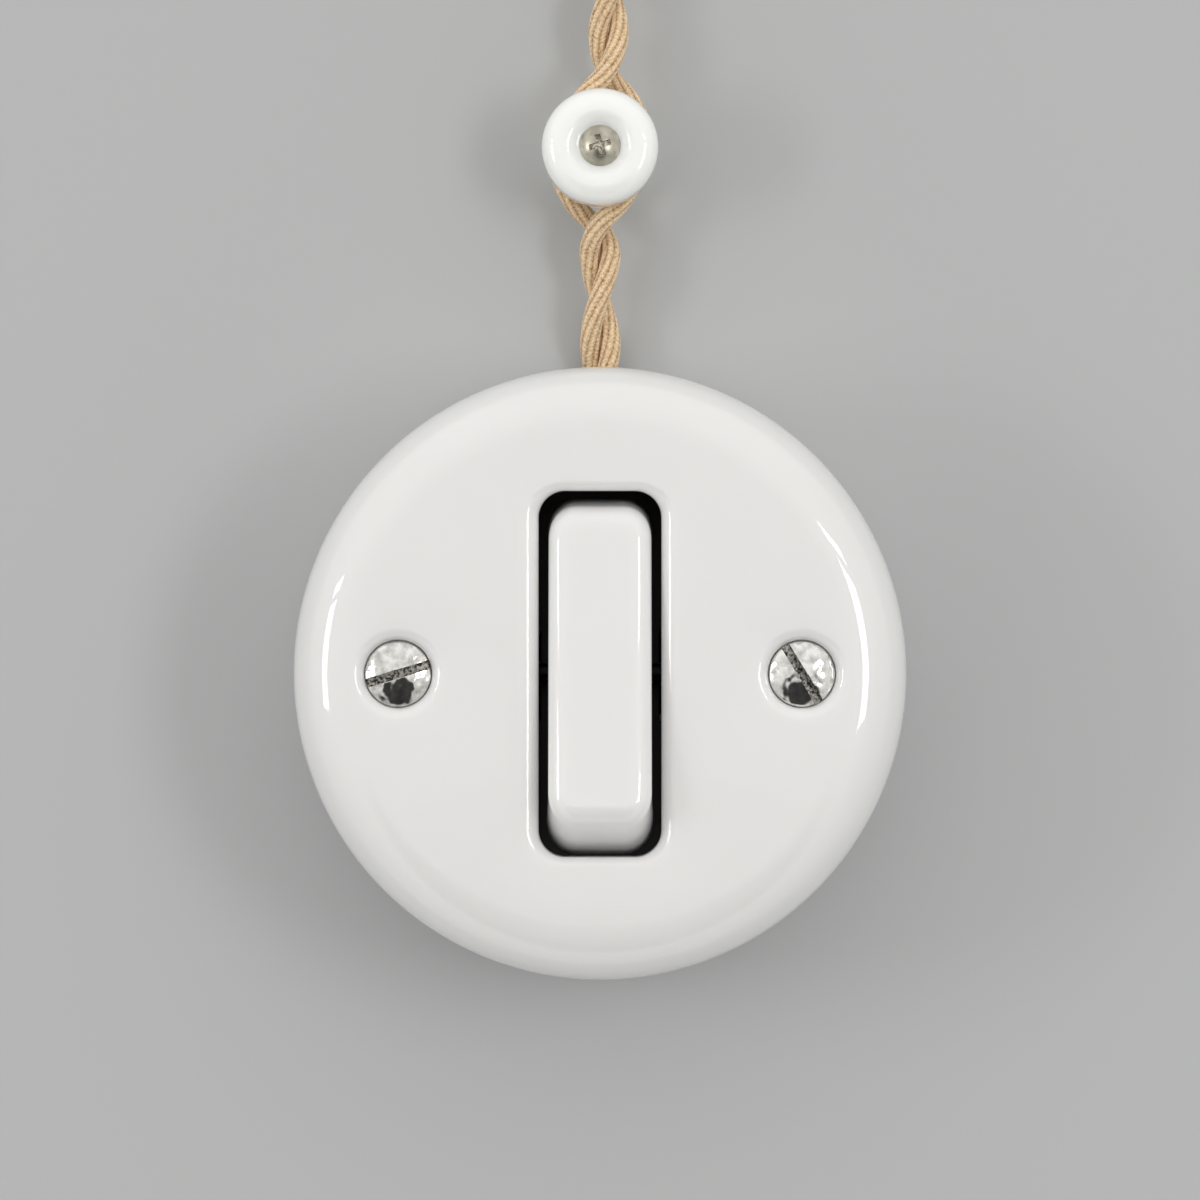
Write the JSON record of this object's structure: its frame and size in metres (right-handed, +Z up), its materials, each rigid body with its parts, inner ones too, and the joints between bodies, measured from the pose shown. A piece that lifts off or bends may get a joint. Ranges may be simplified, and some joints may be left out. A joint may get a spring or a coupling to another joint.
{
  "type": "porcelain rocker switch",
  "caption": "Surface-mounted round porcelain light switch with a rocker key, fed by twisted textile flex held by a porcelain insulator.",
  "frame": {"origin": "centre of the base's flat back face, on the wall", "axes": "+Y into the wall, -Y towards the viewer, +Z up, +X to the viewer's right"},
  "size_m": [0.078, 0.0388, 0.1361],
  "materials": {
    "porcelain_cover": "glossy glaze",
    "porcelain_rocker": "glossy glaze",
    "porcelain_base": "dull bisque",
    "porcelain_insulator": "glossy glaze",
    "thermoset": "moulded, black",
    "nickel_screw": "polished nickel plate",
    "zinc_screw": "dull nickel plate",
    "steel": "ground",
    "brass": "machined",
    "silver_contact": "turned silver alloy",
    "textile_flex": "braided textile",
    "core_insulation": "smooth"
  },
  "bodies": {
    "root": {"cover": "porcelain_cover", "base": "porcelain_base", "mechanism_housing": "thermoset", "housing_screws": "zinc_screw", "rocker_axle": "steel", "threaded_insert_left": "brass", "threaded_insert_right": "brass", "cover_screw_left": "nickel_screw", "cover_screw_right": "nickel_screw", "common_terminal": "brass", "upper_terminal": "brass", "lower_terminal": "brass", "upper_contact_tip": "silver_contact", "lower_contact_tip": "silver_contact", "terminal_screws": "zinc_screw", "conductor_line": "core_insulation", "conductor_switched": "core_insulation", "flex_lower": "textile_flex", "flex_bow_left": "textile_flex", "flex_bow_right": "textile_flex", "flex_upper": "textile_flex", "insulator": "porcelain_insulator", "insulator_screw": "zinc_screw"},
    "key": {"rocker": "porcelain_rocker", "rocker_carrier": "thermoset", "plunger_spring": "steel"},
    "plunger": {"plunger": "steel"},
    "blade": {"contact_blade": "brass", "blade_rivets": "silver_contact"}
  },
  "joints": [
    {"name": "rocker_tilt", "type": "hinge", "parent": "root", "child": "key", "pos_m": [0, -0.027, 0], "axis": [1, 0, 0], "range_deg": [0, 16]},
    {"name": "contact_flip", "type": "hinge", "parent": "root", "child": "blade", "pos_m": [0, -0.0117, 0], "axis": [1, 0, 0], "range_deg": [-10, 0]},
    {"name": "plunger_slide", "type": "slide", "parent": "key", "child": "plunger", "axis": [0, -0.9903, 0.1392], "range_m": [0, 0.0012], "stiffness_N_per_m": 400, "deforming": ["plunger_spring"]}
  ],
  "couplings": [
    {"joint": "contact_flip", "follows": "rocker_tilt", "ratio": -0.625}
  ]
}
